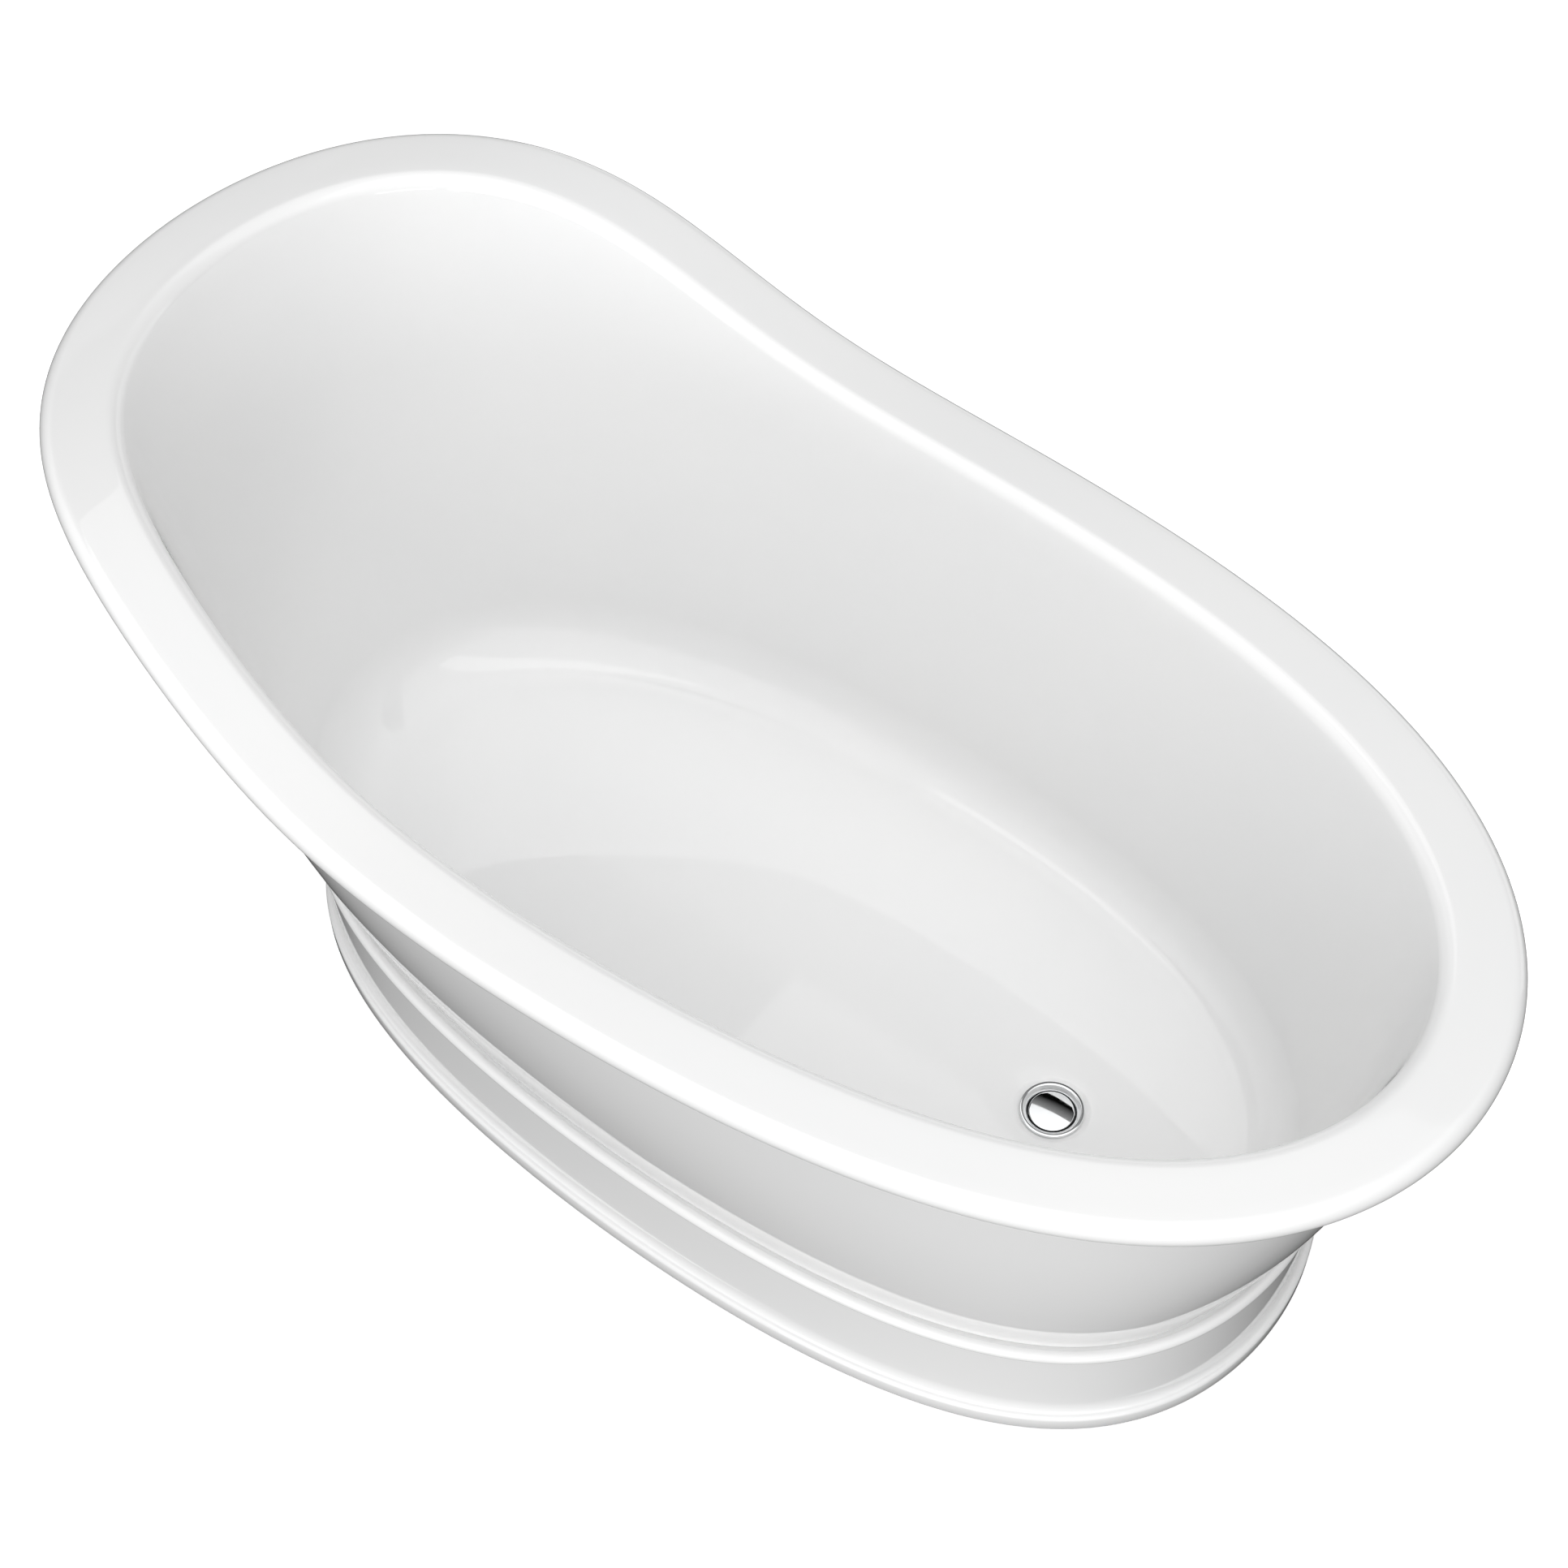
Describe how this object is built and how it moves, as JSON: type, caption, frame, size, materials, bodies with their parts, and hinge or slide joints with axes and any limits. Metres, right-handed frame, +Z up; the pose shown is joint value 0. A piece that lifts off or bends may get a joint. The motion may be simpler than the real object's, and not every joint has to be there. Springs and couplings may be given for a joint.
{
  "type": "freestanding bathtub",
  "caption": "Freestanding slipper bathtub with one raised back, rolled rim, double-skinned body, oval plinth, levelling feet and press-to-open waste.",
  "frame": {"origin": "on the floor, midway between the two ends and the two sides of the rim", "axes": "+X towards the foot end with the waste, -X towards the raised back, +Y across the width, +Z up"},
  "size_m": [1.6, 0.8854, 0.7606],
  "materials": {
    "white_acrylic": "high-gloss white sanitary acrylic",
    "timber": "raw moisture-resistant board",
    "frame_steel": "black powder coat",
    "zinc_steel": "bright zinc plating",
    "rubber": "matt black rubber",
    "chrome": "polished chrome plate",
    "nylon": "natural nylon",
    "brass": "machined brass"
  },
  "bodies": {
    "tub": {"basin": "white_acrylic", "apron": "white_acrylic", "plinth": "white_acrylic", "rim_batten": "timber", "base_board": "timber", "rail_left": "frame_steel", "rail_right": "frame_steel", "crossbar_head": "frame_steel", "crossbar_middle": "frame_steel", "crossbar_foot": "frame_steel", "rivet_nuts": "zinc_steel", "frame_bolts": "zinc_steel", "board_screws": "zinc_steel", "plinth_brackets": "zinc_steel", "bracket_screws": "zinc_steel", "foot_weld_nuts": "zinc_steel", "foot_lock_nuts": "zinc_steel", "flange_gasket": "rubber", "waste_flange": "chrome", "waste_seal": "rubber", "friction_washer": "nylon", "back_nut": "chrome", "cartridge_body": "brass", "cartridge_cap": "brass", "plug_spring": "zinc_steel"},
    "plug": {"plug_stem": "zinc_steel", "plug_seal": "rubber", "plug_cap": "chrome"},
    "screw_foot_head_left": {"foot_stud_head_left": "zinc_steel", "foot_pad_head_left": "rubber"},
    "screw_foot_head_right": {"foot_stud_head_right": "zinc_steel", "foot_pad_head_right": "rubber"},
    "screw_foot_middle": {"foot_stud_middle": "zinc_steel", "foot_pad_middle": "rubber"},
    "screw_foot_foot_left": {"foot_stud_foot_left": "zinc_steel", "foot_pad_foot_left": "rubber"},
    "screw_foot_foot_right": {"foot_stud_foot_right": "zinc_steel", "foot_pad_foot_right": "rubber"}
  },
  "joints": [
    {"name": "plug_press", "type": "slide", "parent": "tub", "child": "plug", "axis": [0, 0, 1], "range_m": [0, 0.0095], "deforming": ["plug_spring"]},
    {"name": "screw_foot_head_left", "type": "slide", "parent": "tub", "child": "screw_foot_head_left", "axis": [0, 0, 1], "range_m": [-0.02, 0.01]},
    {"name": "screw_foot_head_right", "type": "slide", "parent": "tub", "child": "screw_foot_head_right", "axis": [0, 0, 1], "range_m": [-0.02, 0.01]},
    {"name": "screw_foot_middle", "type": "slide", "parent": "tub", "child": "screw_foot_middle", "axis": [0, 0, 1], "range_m": [-0.02, 0.01]},
    {"name": "screw_foot_foot_left", "type": "slide", "parent": "tub", "child": "screw_foot_foot_left", "axis": [0, 0, 1], "range_m": [-0.02, 0.01]},
    {"name": "screw_foot_foot_right", "type": "slide", "parent": "tub", "child": "screw_foot_foot_right", "axis": [0, 0, 1], "range_m": [-0.02, 0.01]}
  ]
}
